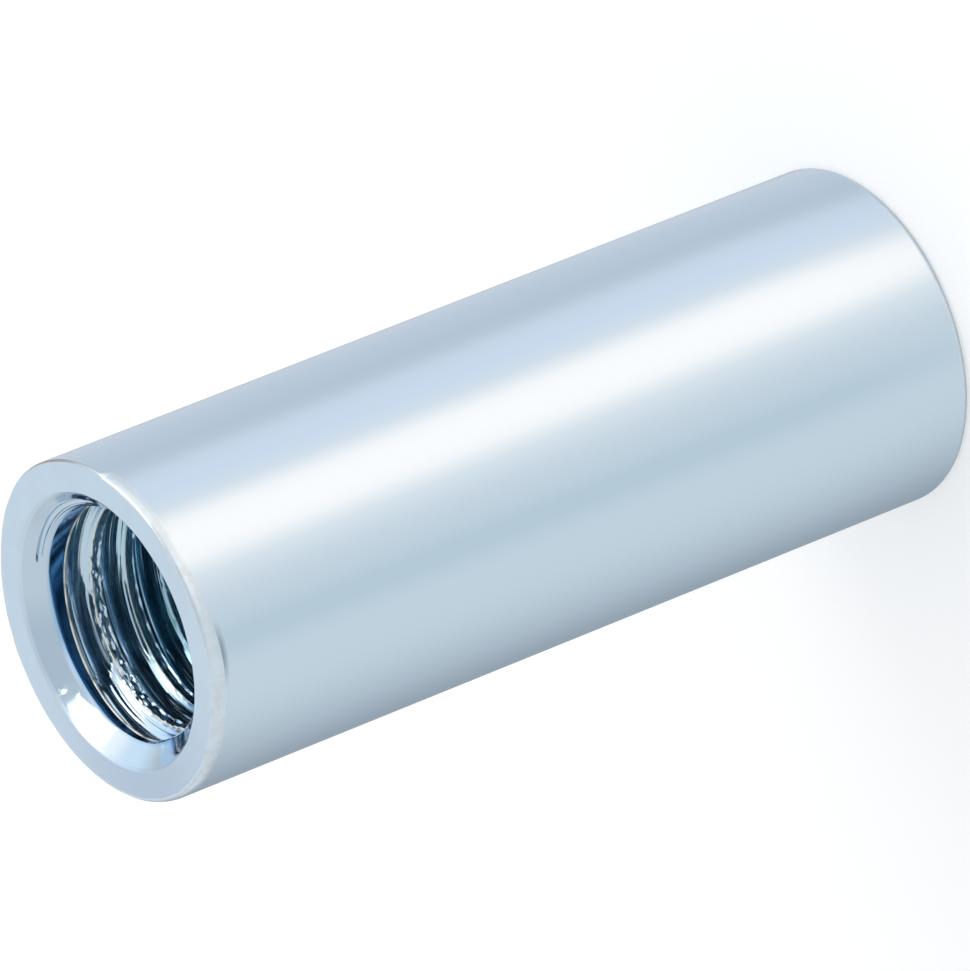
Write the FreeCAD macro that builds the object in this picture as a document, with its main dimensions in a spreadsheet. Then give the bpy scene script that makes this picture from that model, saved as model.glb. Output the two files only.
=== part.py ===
import FreeCAD, Part
import Sketcher
import math
import os

# A round sleeve nut, which joins two threaded rods end to end. It is one piece of steel: turned from bar,
# drilled right through, countersunk at both mouths, its outer corners broken, and tapped.
# It stands on its end on the XY plane, with its axis on Z.

# Driving dimensions: lengths in millimetres, angles in degrees, and a count of turns.
# The thread is M12 x 1.75, right-hand, and the wall outside it makes the sleeve 15 mm across.
DRIVING_DIMENSIONS = {
    "sleeve_length": 40.0,
    "wall_thickness": 1.5,
    "thread_diameter": 12.0,
    "thread_pitch": 1.75,
    "flank_angle": 60.0,
    # turns cut from each mouth; further in, where nothing shows, the bore is left as it was drilled
    "thread_turns": 5,
    # from the top face down to the middle of the first groove, on the +X side, if it went up so far
    "first_groove_depth": 0.91,
    # the part of a turn over which the groove grows shallow and runs out, below the top countersink
    "run_out_turn": 0.4,
    "countersink_angle": 90.0,
    # how much wider than the thread the countersinks are
    "mouth_allowance": 0.25,
    "top_edge_width": 0.24,
    "top_edge_height": 0.6,
    "bottom_edge_size": 0.4,
}

# Sizes worked out from them. Inside a nut the crests of a metric thread are a quarter of the pitch wide and its
# roots an eighth. The tap's section starts a little inside the drilled bore, so that it leaves no skin there.
# Both stretches of thread keep to one helix, start on the +X side and run upwards. The top one ends half a turn
# early, on the -X side, where its run-out goes on along a cone that closes until the tap is clear of the bore.
WORKED_SIZES = {
    "thread_radius": "=Sizes.thread_diameter / 2",
    "outer_radius": "=thread_radius + Sizes.wall_thickness",
    "half_flank_angle": "=Sizes.flank_angle / 2 * 1 deg",
    "half_root_width": "=Sizes.thread_pitch / 16",
    "half_groove_width": "=Sizes.thread_pitch * 3 / 8",
    "bore_radius": "=thread_radius - (half_groove_width - half_root_width) / tan(half_flank_angle)",
    "mouth_radius": "=thread_radius + Sizes.mouth_allowance / 2",
    "countersink_reach": "=mouth_radius / tan(Sizes.countersink_angle / 2 * 1 deg)",
    "tap_overrun": "=Sizes.thread_pitch / 16",
    "tap_inner_radius": "=bore_radius - tap_overrun",
    "tap_half_width": "=half_groove_width + tap_overrun * tan(half_flank_angle)",
    "thread_reach": "=Sizes.thread_turns * Sizes.thread_pitch",
    "top_thread_start": "=Sizes.sleeve_length - Sizes.first_groove_depth - thread_reach",
    "top_thread_height": "=thread_reach - Sizes.thread_pitch / 2",
    "run_out_start": "=top_thread_start + top_thread_height",
    "run_out_height": "=Sizes.run_out_turn * Sizes.thread_pitch",
    "run_out_clearance": "=Sizes.thread_pitch / 80",
    "run_out_angle": "=atan((bore_radius - run_out_clearance - thread_radius) / run_out_height)",
    "bottom_thread_start": "=mod(top_thread_start; Sizes.thread_pitch) - 2 * Sizes.thread_pitch",
    "bottom_thread_height": "=thread_reach + Sizes.thread_pitch - bottom_thread_start",
}


def fill_sheet(document, name, cells):
    """Add a spreadsheet with one named cell to a row, and return it."""
    sheet = document.addObject("Spreadsheet::Sheet", name)
    for row, (alias, content) in enumerate(cells.items(), start=1):
        sheet.set("A%d" % row, alias.replace("_", " "))
        sheet.setAlias("B%d" % row, alias)
        sheet.set("B%d" % row, str(content))
    document.recompute()
    return sheet


def sketch_on(body, role, name):
    """Return a new sketch on one of the body's own origin planes."""
    plane = next(feature for feature in body.Origin.OriginFeatures if feature.Role == role)
    sketch = body.newObject("Sketcher::SketchObject", name)
    sketch.AttachmentSupport = [(plane, "")]
    sketch.MapMode = "FlatFace"
    return sketch


def bind(sketch, constraint, expression):
    """Add a dimension to a sketch and tie it to an expression."""
    index = sketch.addConstraint(constraint)
    sketch.setExpression("Constraints[%d]" % index, expression)


def circle_sketch(body, name, radius_cell):
    """Return a sketch of a circle round the axis, as two half circles, so that its wall has two equal faces."""
    sketch = sketch_on(body, "XY_Plane", name)
    radius = sketch.evalExpression(radius_cell)
    circle = Part.Circle(FreeCAD.Vector(0, 0, 0), FreeCAD.Vector(0, 0, 1), radius)
    sketch.addGeometry(Part.ArcOfCircle(circle, 0, math.pi))
    sketch.addGeometry(Part.ArcOfCircle(circle, math.pi, 2 * math.pi))
    sketch.addConstraint(Sketcher.Constraint("Coincident", 0, 3, -1, 1))
    sketch.addConstraint(Sketcher.Constraint("PointOnObject", 0, 1, -1))
    sketch.addConstraint(Sketcher.Constraint("PointOnObject", 0, 2, -1))
    sketch.addConstraint(Sketcher.Constraint("Coincident", 0, 2, 1, 1))
    sketch.addConstraint(Sketcher.Constraint("Coincident", 1, 2, 0, 1))
    sketch.addConstraint(Sketcher.Constraint("Coincident", 1, 3, -1, 1))
    bind(sketch, Sketcher.Constraint("Radius", 0, radius), radius_cell)
    return sketch


def outline_sketch(body, name, corners):
    """Return a sketch of a straight-sided outline beside the axis.

    Each corner is two expressions, its distance from the axis (None for a corner on it) and its height.
    """
    sketch = sketch_on(body, "XZ_Plane", name)
    places = []
    for out, up in corners:
        places.append(FreeCAD.Vector(sketch.evalExpression(out or "0"), sketch.evalExpression(up), 0))
    for start, end in zip(places, places[1:] + places[:1]):
        sketch.addGeometry(Part.LineSegment(start, end))
    for side, (out, up) in enumerate(corners):
        sketch.addConstraint(Sketcher.Constraint("Coincident", (side - 1) % len(corners), 2, side, 1))
        if out is None:
            sketch.addConstraint(Sketcher.Constraint("PointOnObject", side, 1, -2))
        else:
            bind(sketch, Sketcher.Constraint("DistanceX", -1, 1, side, 1, places[side].x), out)
        bind(sketch, Sketcher.Constraint("DistanceY", -1, 1, side, 1, places[side].y), up)
    return sketch


def outer_corner(shape, radius, height):
    """Return the names of the shape's circular edges with this radius, at this height."""
    found = []
    for number, edge in enumerate(shape.Edges, start=1):
        curve = edge.Curve
        if curve.TypeId != "Part::GeomCircle":
            continue
        if math.isclose(curve.Radius, radius) and math.isclose(curve.Center.z, height, abs_tol=1e-6):
            found.append("Edge%d" % number)
    return found


def countersink(body, name, corners):
    """Cut a cone on the axis, as a countersink does, and return the feature."""
    outline = outline_sketch(body, name + "_outline", corners)
    cone = body.newObject("PartDesign::Groove", name)
    cone.Profile = outline
    cone.ReferenceAxis = (outline, ["V_Axis"])
    return cone


def break_corner(body, name, base, radius, height, drop_cell, width_cell):
    """Take off the outer corner of an end face, drop_cell along the side and width_cell across the face."""
    corner = body.newObject("PartDesign::Chamfer", name)
    corner.Base = (base, outer_corner(base.Shape, radius, height))
    corner.ChamferType = "Two distances"
    corner.setExpression("Size", drop_cell)
    corner.setExpression("Size2", width_cell)
    return corner


def cut_thread(body, name, sign, start_cell, height_cell, angle_cell=None):
    """Cut a stretch of the thread with the section of its groove, and return the feature.

    It starts on the side of +X or, where the sign is "-", of -X. With an angle its helix runs on a cone.
    """
    groove = outline_sketch(body, name + "_groove", [
        (sign + "Worked.tap_inner_radius", start_cell + " - Worked.tap_half_width"),
        (sign + "Worked.thread_radius", start_cell + " - Worked.half_root_width"),
        (sign + "Worked.thread_radius", start_cell + " + Worked.half_root_width"),
        (sign + "Worked.tap_inner_radius", start_cell + " + Worked.tap_half_width"),
    ])
    thread = body.newObject("PartDesign::SubtractiveHelix", name)
    thread.Profile = groove
    thread.ReferenceAxis = (groove, ["V_Axis"])
    thread.Mode = "pitch-height-angle"
    thread.setExpression("Pitch", "Sizes.thread_pitch")
    thread.setExpression("Height", height_cell)
    if angle_cell is not None:
        thread.setExpression("Angle", angle_cell)
    thread.LeftHanded = False
    return thread


def finish(document, feature, less_than=None):
    """Work out a feature, keep its faces as they are cut, and stop if it has taken nothing away."""
    feature.Refine = False
    document.recompute()
    if less_than is not None and feature.Shape.Volume >= less_than.Shape.Volume:
        raise RuntimeError(feature.Name + " takes nothing away")
    return feature


def check_objects(document):
    """Stop if any object of the document has failed."""
    for item in document.Objects:
        if "Invalid" in item.State or "Error" in item.State:
            raise RuntimeError("%s is %s" % (item.Name, item.State))


def build_sleeve_nut(document, sizes, worked):
    """Return the body of the sleeve nut."""
    body = document.addObject("PartDesign::Body", "sleeve_nut")
    body.Label = "sleeve_nut"
    body.Placement = FreeCAD.Placement()

    bar = body.newObject("PartDesign::Pad", "turned_bar")
    bar.Profile = circle_sketch(body, "bar_section", "Worked.outer_radius")
    bar.setExpression("Length", "Sizes.sleeve_length")
    finish(document, bar)

    bore = body.newObject("PartDesign::Pocket", "drilled_bore")
    bore.Profile = circle_sketch(body, "bore_section", "Worked.bore_radius")
    bore.Type = "ThroughAll"
    bore.Midplane = True
    finish(document, bore, less_than=bar)

    top_cone = countersink(body, "top_countersink", [
        (None, "Sizes.sleeve_length - Worked.countersink_reach"),
        ("Worked.mouth_radius", "Sizes.sleeve_length"),
        (None, "Sizes.sleeve_length"),
    ])
    finish(document, top_cone, less_than=bore)
    bottom_cone = countersink(body, "bottom_countersink", [
        (None, "Worked.countersink_reach"),
        (None, "0"),
        ("Worked.mouth_radius", "0"),
    ])
    finish(document, bottom_cone, less_than=top_cone)

    # The top corner is a long shallow cone with a dull edge, and the bottom one is a plain chamfer.
    top_corner = break_corner(body, "top_corner", bottom_cone, worked.outer_radius, sizes.sleeve_length,
                              "Sizes.top_edge_height", "Sizes.top_edge_width")
    finish(document, top_corner, less_than=bottom_cone)
    bottom_corner = break_corner(body, "bottom_corner", top_corner, worked.outer_radius, 0,
                                 "Sizes.bottom_edge_size", "Sizes.bottom_edge_size")
    finish(document, bottom_corner, less_than=top_corner)

    top_thread = cut_thread(body, "top_thread", "", "Worked.top_thread_start", "Worked.top_thread_height")
    finish(document, top_thread, less_than=bottom_corner)
    run_out = cut_thread(body, "run_out", "-", "Worked.run_out_start", "Worked.run_out_height",
                         "Worked.run_out_angle")
    finish(document, run_out, less_than=top_thread)
    bottom_thread = cut_thread(body, "bottom_thread", "", "Worked.bottom_thread_start",
                               "Worked.bottom_thread_height")
    finish(document, bottom_thread, less_than=run_out)
    return body


document = FreeCAD.newDocument("SleeveNut")
sizes = fill_sheet(document, "Sizes", DRIVING_DIMENSIONS)
worked = fill_sheet(document, "Worked", WORKED_SIZES)
sleeve_nut = build_sleeve_nut(document, sizes, worked)
check_objects(document)

os.makedirs("parts", exist_ok=True)
for part in [sleeve_nut]:
    if part.Shape.isNull() or not part.Shape.isValid():
        raise RuntimeError(part.Label + " has no valid shape")
    part.Shape.exportStep("parts/%s.step" % part.Label)
    print("%s: %d solid, volume %.1f mm3" % (part.Label, len(part.Shape.Solids), part.Shape.Volume))
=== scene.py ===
"""A round sleeve nut of bright zinc plated steel, standing on its end on a pale sheet.

The nut is one piece: a turned sleeve, countersunk at both mouths and tapped right through. Its mesh is one
closed skin, whose bore follows the helix of the thread. Lengths are in millimetres until a mesh is made.
"""

import logging
import math
from dataclasses import dataclass
from enum import Enum

import bpy
import numpy as np
from mathutils import Matrix, Vector

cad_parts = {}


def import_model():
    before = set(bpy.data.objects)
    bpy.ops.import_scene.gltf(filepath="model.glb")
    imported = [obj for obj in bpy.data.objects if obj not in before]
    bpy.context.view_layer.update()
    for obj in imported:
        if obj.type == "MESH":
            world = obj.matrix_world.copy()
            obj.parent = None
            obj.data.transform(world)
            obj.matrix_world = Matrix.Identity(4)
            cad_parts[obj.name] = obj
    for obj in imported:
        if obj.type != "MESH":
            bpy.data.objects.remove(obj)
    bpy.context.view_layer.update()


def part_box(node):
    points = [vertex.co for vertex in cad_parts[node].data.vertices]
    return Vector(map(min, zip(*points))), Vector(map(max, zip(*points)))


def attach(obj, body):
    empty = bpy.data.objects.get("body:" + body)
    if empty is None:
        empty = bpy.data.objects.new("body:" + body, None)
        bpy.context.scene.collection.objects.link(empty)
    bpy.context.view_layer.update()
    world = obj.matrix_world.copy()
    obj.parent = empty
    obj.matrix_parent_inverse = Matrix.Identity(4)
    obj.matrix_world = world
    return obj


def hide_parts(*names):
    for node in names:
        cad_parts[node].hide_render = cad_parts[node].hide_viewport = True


Colour = tuple[float, float, float, float]
Tree = bpy.types.NodeTree
Socket = bpy.types.NodeSocket

MM = 0.001
WHITE = (1.0, 1.0, 1.0, 1.0)
# heights or angles that are less than this apart are the same
SAME = 1e-6
# the colour sockets of a Mix node, which share their names with its sockets for other kinds of value
MIX_FIRST = 6
MIX_SECOND = 7
MIX_RESULT = 2
CAD_NODE = "sleeve_nut"
LOG = logging.getLogger("sleeve_nut")


def linear(hex_colour: str) -> Colour:
    """Turn an sRGB hex colour into the linear colour that a shader takes.

    Args:
        hex_colour: six hex digits, with or without a leading "#".

    Returns:
        Linear red, green, blue and an alpha of 1.
    """
    digits = hex_colour.lstrip("#")
    channels = []
    for start in (0, 2, 4):
        value = int(digits[start:start + 2], 16) / 255
        # The numbers are those of the sRGB standard's curve.
        channels.append(value / 12.92 if value <= 0.04045 else ((value + 0.055) / 1.055) ** 2.4)
    return (*channels, 1.0)


def add_node(tree: Tree, kind: str, settings: dict | None = None,
             inputs: dict | None = None) -> bpy.types.Node:
    """Add a node with its settings and its inputs.

    Args:
        tree: the node tree that gets it.
        kind: Blender's name for the node type.
        settings: properties of the node, by name.
        inputs: what goes into its sockets, by name or number: a value, or another node's output to link.

    Returns:
        The new node.
    """
    node = tree.nodes.new(kind)
    for name, value in (settings or {}).items():
        setattr(node, name, value)
    for socket, value in (inputs or {}).items():
        if isinstance(value, Socket):
            tree.links.new(value, node.inputs[socket])
        else:
            node.inputs[socket].default_value = value
    return node


def blend_colours(tree: Tree, value: Socket, start: float, end: float, first: Colour | Socket,
                  second: Colour) -> Socket:
    """Blend smoothly from one colour to another as a value goes from start to end.

    Args:
        tree: the node tree that gets the nodes.
        value: the value that is followed.
        start: where the first colour ends.
        end: where the second colour is reached, above or below start.
        first: the first colour, or another node's output.
        second: the second colour.

    Returns:
        The blended colour.
    """
    share = add_node(tree, "ShaderNodeMapRange", {"interpolation_type": "SMOOTHSTEP"}, {
        "Value": value,
        "From Min": start,
        "From Max": end,
    })
    mix = add_node(tree, "ShaderNodeMix", {"data_type": "RGBA"}, {
        "Factor": share.outputs["Result"],
        MIX_FIRST: first,
        MIX_SECOND: second,
    })
    return mix.outputs[MIX_RESULT]


def direction(azimuth: float, elevation: float) -> Vector:
    """Return the unit vector at two angles in degrees.

    Args:
        azimuth: 0 towards -Y and 90 towards +X.
        elevation: the angle above the sheet.

    Returns:
        The vector.
    """
    turn = math.radians(azimuth)
    tilt = math.radians(elevation)
    return Vector((math.sin(turn) * math.cos(tilt), -math.cos(turn) * math.cos(tilt), math.sin(tilt)))


def smooth_larger(one: np.ndarray, other: np.ndarray, rounding: float | np.ndarray) -> np.ndarray:
    """Return the larger of two heights, with the corner between them rounded.

    Args:
        one: the first heights.
        other: the second heights.
        rounding: how far apart the two may be and still blend.

    Returns:
        The blended heights.
    """
    share = np.clip(0.5 + (one - other) / (2 * rounding), 0, 1)
    return other + (one - other) * share + rounding * share * (1 - share)


def smooth_step(value: np.ndarray, start: float | np.ndarray, end: float | np.ndarray) -> np.ndarray:
    """Go smoothly from 0 at start to 1 at end."""
    share = np.clip((value - start) / (end - start), 0, 1)
    return share * share * (3 - 2 * share)


@dataclass(frozen=True)
class ZincPlate:
    """Steel with a bright zinc plate and a clear blue passivate: a cool silver.

    Lengths are in millimetres. The grain is the steel's own unevenness, which the thin plate follows. It is
    finer in the real one, and drawn as coarse as it needs to show.
    """

    name: str
    colour: str = "#c7d8e8"
    roughness: float = 0.20
    grain_size: float = 0.5
    grain_depth: float = 0.0003
    # a colour laid over the metal round one place, how far it reaches, and how many times less up and down;
    # on the face and in the bore it is painted shade
    tint: str = ""
    tint_place: tuple[float, float, float] = (0.0, 0.0, 0.0)
    tint_reach: float = 1.0
    tint_flatness: float = 1.0

    def position(self, tree: Tree) -> Socket:
        """Return the place on the nut in millimetres, which the finish's patterns follow.

        Args:
            tree: the node tree that gets the nodes.

        Returns:
            The place.
        """
        place = add_node(tree, "ShaderNodeTexCoord")
        scaled = add_node(tree, "ShaderNodeVectorMath", {"operation": "SCALE"}, {
            0: place.outputs["Object"],
            "Scale": 1 / MM,
        })
        return scaled.outputs[0]

    def tinted(self, tree: Tree, position: Socket, base: Colour | Socket) -> Colour | Socket:
        """Lay the finish's tint over a colour, if the finish has one.

        Args:
            tree: the node tree that gets the nodes.
            position: the place on the nut, in millimetres.
            base: the colour, or another node's output.

        Returns:
            The tinted colour, or the colour as it was given.
        """
        if not self.tint:
            return base
        away = add_node(tree, "ShaderNodeVectorMath", {"operation": "SUBTRACT"}, {
            0: position,
            1: self.tint_place,
        })
        squeezed = add_node(tree, "ShaderNodeVectorMath", {"operation": "MULTIPLY"}, {
            0: away.outputs["Vector"],
            1: (1.0, 1.0, self.tint_flatness),
        })
        distance = add_node(tree, "ShaderNodeVectorMath", {"operation": "LENGTH"}, {
            0: squeezed.outputs["Vector"],
        })
        return blend_colours(tree, distance.outputs["Value"], self.tint_reach, 0.0, base, linear(self.tint))

    def paint(self, tree: Tree, position: Socket) -> Colour | Socket:
        """Return the metal's colour at a place, with its tint."""
        return self.tinted(tree, position, linear(self.colour))

    def dullness(self, tree: Tree) -> float | Socket:
        """Return the roughness, which is the same all over a plain finish."""
        return self.roughness

    def relief(self, tree: Tree, position: Socket) -> Socket:
        """Return the grain's height.

        Args:
            tree: the node tree that gets the nodes.
            position: the place on the nut, in millimetres.

        Returns:
            The height, from 0 to 1.
        """
        grain = add_node(tree, "ShaderNodeTexNoise", inputs={
            "Vector": position,
            "Scale": 1 / self.grain_size,
            "Detail": 3.0,
            "Roughness": 0.6,
        })
        return grain.outputs["Fac"]

    def build(self) -> bpy.types.Material:
        """Build the finish's material.

        Returns:
            The material.
        """
        material = bpy.data.materials.new(self.name)
        material.use_nodes = True
        tree = material.node_tree
        tree.nodes.clear()
        position = self.position(tree)
        bump = add_node(tree, "ShaderNodeBump", inputs={
            "Height": self.relief(tree, position),
            "Strength": 1.0,
            "Distance": self.grain_depth * MM,
        })
        shader = add_node(tree, "ShaderNodeBsdfPrincipled", inputs={
            "Base Color": self.paint(tree, position),
            "Metallic": 1.0,
            "Roughness": self.dullness(tree),
            "Normal": bump.outputs["Normal"],
        })
        add_node(tree, "ShaderNodeOutputMaterial", inputs={"Surface": shader.outputs["BSDF"]})
        return material


@dataclass(frozen=True)
class StainedZinc(ZincPlate):
    """Zinc plate on a rubbed edge or a cut face, mottled where the passivate has dried unevenly."""

    stain: str = "#b3a79f"
    stain_amount: float = 0.4
    stain_size: float = 0.4
    # heights of the noise at which the stains begin and where they are full
    stain_noise: tuple[float, float] = (0.42, 0.68)

    def paint(self, tree: Tree, position: Socket) -> Socket:
        """Return the metal's colour, with its stains.

        Args:
            tree: the node tree that gets the nodes.
            position: the place on the nut, in millimetres.

        Returns:
            The colour.
        """
        patches = add_node(tree, "ShaderNodeTexNoise", inputs={
            "Vector": position,
            "Scale": 1 / self.stain_size,
            "Detail": 4.0,
            "Roughness": 0.65,
        })
        start, full = self.stain_noise
        share = add_node(tree, "ShaderNodeMapRange", inputs={
            "Value": patches.outputs["Fac"],
            "From Min": start,
            "From Max": full,
            "To Max": self.stain_amount,
        })
        mix = add_node(tree, "ShaderNodeMix", {"data_type": "RGBA"}, {
            "Factor": share.outputs["Result"],
            MIX_FIRST: super().paint(tree, position),
            MIX_SECOND: linear(self.stain),
        })
        return mix.outputs[MIX_RESULT]


@dataclass(frozen=True, kw_only=True)
class TappedZinc(ZincPlate):
    """Zinc plate in the countersunk and tapped bore.

    The countersink is pale. The rubbed band above the first groove is painted a darker, fuller blue, which
    is painted shade for the dark bore that it reflects, and the thread is painted darker and bluer further
    in, which is painted shade too. The thread has fine streaks along the cut that catch the light. Both
    edges of each crest are worn bare and dull, and painted cream as a painted highlight, so that they show
    as pale lines. Depths are below the nearest face, and the heights of lines are those of their highest
    turn, less the helix's rise.
    """

    pitch: float
    # heights of the upper and lower edges of the first whole turn of the groove
    upper_edge: float
    lower_edge: float
    # painted shade: the rubbed band's darker, fuller blue stands in for the dark bore that it reflects
    entry_colour: str = "#6ea3d6"
    thread_colour: str = "#bad0e0"
    # painted shade: the thread's colour deep in the bore, darker and bluer
    deep_colour: str = "#9cc6d8"
    # painted highlight: the pale cream that the crests' bare edges are painted, so that they show as pale
    # lines
    edge_highlight_colour: str = "#f2ecdf"
    # depths over which the countersink's colour turns to the rubbed band's, and the thread's to its deep one
    entry_depths: tuple[float, float] = (0.80, 1.15)
    deep_depths: tuple[float, float] = (2.5, 7.0)
    # heights above that upper edge over which the thread's colour begins, and its streaks
    thread_start: tuple[float, float] = (0.024, -0.036)
    streak_start: tuple[float, float] = (-0.016, -0.136)
    # how far inside the groove's edges the bare lines with their painted highlight lie, and how far from
    # their middles those on the burrs and on the crests' upper edges end and are full
    edge_line_inset: float = 0.006
    burr_reach: tuple[float, float] = (0.07, 0.03)
    crest_reach: tuple[float, float] = (0.04, 0.01)
    # how much duller the bare lines are, and over what width that begins
    bare_dullness: float = 0.4
    bare_fade: float = 0.03
    # The tap's scratches are finer than this. They are drawn as coarse as they need to show.
    streak_width: float = 0.10
    streak_length: float = 5.0
    # radius at which the streaks have that length, about half way down the flanks
    streak_radius: float = 5.5
    streak_roughness: float = 0.34
    # heights of the streaks at which they begin to be dull, and where they are full
    streak_noise: tuple[float, float] = (0.50, 0.66)

    @property
    def burr_line(self) -> float:
        """Height of the bare line on the burrs, which is painted as a highlight."""
        return self.upper_edge - self.edge_line_inset

    @property
    def crest_line(self) -> float:
        """Height of the bare line on the crests' upper edges, which is painted as a highlight."""
        return self.lower_edge + self.edge_line_inset

    def from_line(self, tree: Tree, line: float) -> Socket:
        """Return how far a place is, across the thread, from a line that runs along each turn.

        Args:
            tree: the node tree that gets the nodes.
            line: height of the line.

        Returns:
            The distance in millimetres.
        """
        height = add_node(tree, "ShaderNodeAttribute", {"attribute_name": "helix_height"}).outputs["Fac"]
        wrapped = add_node(tree, "ShaderNodeMath", {"operation": "WRAP"}, {
            0: height,
            1: line + self.pitch / 2,
            2: line - self.pitch / 2,
        })
        away = add_node(tree, "ShaderNodeMath", {"operation": "SUBTRACT"}, {0: wrapped.outputs[0], 1: line})
        either_side = add_node(tree, "ShaderNodeMath", {"operation": "ABSOLUTE"}, {0: away.outputs[0]})
        above = add_node(tree, "ShaderNodeMath", {"operation": "SUBTRACT"}, {0: height, 1: line})
        distance = add_node(tree, "ShaderNodeMath", {"operation": "MAXIMUM"}, {
            0: either_side.outputs[0],
            1: above.outputs[0],
        })
        return distance.outputs[0]

    def paint(self, tree: Tree, position: Socket) -> Socket:
        """Return the metal's colour, by the depth below the face and the height along the helix.

        Args:
            tree: the node tree that gets the nodes.
            position: the place on the nut, in millimetres.

        Returns:
            The colour.
        """
        depth = add_node(tree, "ShaderNodeAttribute", {"attribute_name": "depth"}).outputs["Fac"]
        along = add_node(tree, "ShaderNodeAttribute", {"attribute_name": "helix_height"}).outputs["Fac"]
        start, end = (self.upper_edge + height for height in self.thread_start)
        cone = linear(self.colour)
        edge_line = linear(self.edge_highlight_colour)
        # painted shade: from the countersink into the rubbed band the colour turns a darker, fuller blue
        colour = blend_colours(tree, depth, *self.entry_depths, cone, linear(self.entry_colour))
        colour = blend_colours(tree, along, start, end, colour, linear(self.thread_colour))
        # painted shade: the tint darkens the countersink's inner edge at -X to a fuller blue
        colour = self.tinted(tree, position, colour)
        # painted highlight: cream lines along the burrs and the crests' upper edges
        colour = blend_colours(tree, self.from_line(tree, self.burr_line), *self.burr_reach, colour, edge_line)
        colour = blend_colours(tree, self.from_line(tree, self.crest_line), *self.crest_reach, colour, edge_line)
        # painted shade: the thread turns darker and bluer further in
        return blend_colours(tree, depth, *self.deep_depths, colour, linear(self.deep_colour))

    def streaks(self, tree: Tree) -> Socket:
        """Return streaks that are drawn out along the helix, from the first groove down.

        Args:
            tree: the node tree that gets the nodes.

        Returns:
            The streaks' height, from 0 to 1.
        """
        turn = add_node(tree, "ShaderNodeAttribute", {"attribute_name": "turn"}).outputs["Fac"]
        height = add_node(tree, "ShaderNodeAttribute", {"attribute_name": "helix_height"}).outputs["Fac"]
        along = add_node(tree, "ShaderNodeMath", {"operation": "MULTIPLY"}, {
            0: turn,
            1: self.streak_radius / self.streak_length,
        })
        across = add_node(tree, "ShaderNodeMath", {"operation": "MULTIPLY"}, {
            0: height,
            1: 1 / self.streak_width,
        })
        drawn_out = add_node(tree, "ShaderNodeCombineXYZ", inputs={
            0: along.outputs[0],
            1: across.outputs[0],
        })
        noise = add_node(tree, "ShaderNodeTexNoise", inputs={
            "Vector": drawn_out.outputs[0],
            "Scale": 1.0,
            "Detail": 2.0,
            "Roughness": 0.5,
        })
        start, end = (self.upper_edge + height for height in self.streak_start)
        strength = add_node(tree, "ShaderNodeMapRange", {"interpolation_type": "SMOOTHSTEP"}, {
            "Value": height,
            "From Min": start,
            "From Max": end,
        })
        cut = add_node(tree, "ShaderNodeMath", {"operation": "MULTIPLY"}, {
            0: noise.outputs["Fac"],
            1: strength.outputs["Result"],
        })
        return cut.outputs[0]

    def relief(self, tree: Tree, position: Socket) -> Socket:
        """Return the height of the streaks."""
        return self.streaks(tree)

    def dullness(self, tree: Tree) -> Socket:
        """Return the roughness, which is higher in some of the streaks and on the crests' bare edges.

        Args:
            tree: the node tree that gets the nodes.

        Returns:
            The roughness.
        """
        start, full = self.streak_noise
        roughness = add_node(tree, "ShaderNodeMapRange", {"interpolation_type": "SMOOTHSTEP"}, {
            "Value": self.streaks(tree),
            "From Min": start,
            "From Max": full,
            "To Min": self.roughness,
            "To Max": self.streak_roughness,
        }).outputs["Result"]
        for line, (reach, _) in ((self.burr_line, self.burr_reach), (self.crest_line, self.crest_reach)):
            edge_line = add_node(tree, "ShaderNodeMapRange", {"interpolation_type": "SMOOTHSTEP"}, {
                "Value": self.from_line(tree, line),
                "From Min": reach,
                "From Max": reach - self.bare_fade,
                "To Max": self.bare_dullness,
            })
            roughness = add_node(tree, "ShaderNodeMath", {"operation": "ADD"}, {
                0: roughness,
                1: edge_line.outputs["Result"],
            }).outputs[0]
        return roughness


class PatchyNoise:
    """Smooth noise over an angle that closes on itself and a length that doesn't, the same on each run."""

    # how many cells of length the lattice has before it repeats
    ROWS = 997

    def __init__(self, seed: int, around: int, along: float) -> None:
        """Draw the noise's lattice.

        Args:
            seed: picks the pattern.
            around: how many lattice cells go once round.
            along: the length of a lattice cell, in millimetres.
        """
        self.around = around
        self.along = along
        self.lattice = np.random.default_rng(seed).uniform(-1, 1, (self.around, self.ROWS))

    def at(self, angle: np.ndarray, length: np.ndarray) -> np.ndarray:
        """Return the noise at places.

        Args:
            angle: angles in radians.
            length: lengths in millimetres.

        Returns:
            The noise, from -1 to 1.
        """
        column = angle / (2 * math.pi) * self.around
        row = length / self.along
        column_cell = np.floor(column).astype(int)
        row_cell = np.floor(row).astype(int)
        column_share = smooth_step(column - column_cell, 0, 1)
        row_share = smooth_step(row - row_cell, 0, 1)
        left = column_cell % self.around
        right = (column_cell + 1) % self.around
        low = row_cell % self.ROWS
        high = (row_cell + 1) % self.ROWS
        near = self.lattice[left, low] * (1 - row_share) + self.lattice[left, high] * row_share
        far = self.lattice[right, low] * (1 - row_share) + self.lattice[right, high] * row_share
        return near * (1 - column_share) + far * column_share


@dataclass(frozen=True)
class Stretch:
    """A stretch round the bore's axis that a mark keeps to, and fades out from at both ends."""

    # the angle of its middle in degrees, from +X towards +Y
    middle: float
    # cosines of the angles from the middle at which the mark ends and is full
    end: float
    full: float
    strength: float = 1.0

    def at(self, angle: np.ndarray) -> np.ndarray:
        """Return how strong the mark is at angles in radians."""
        return self.strength * smooth_step(np.cos(angle - math.radians(self.middle)), self.end, self.full)


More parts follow.
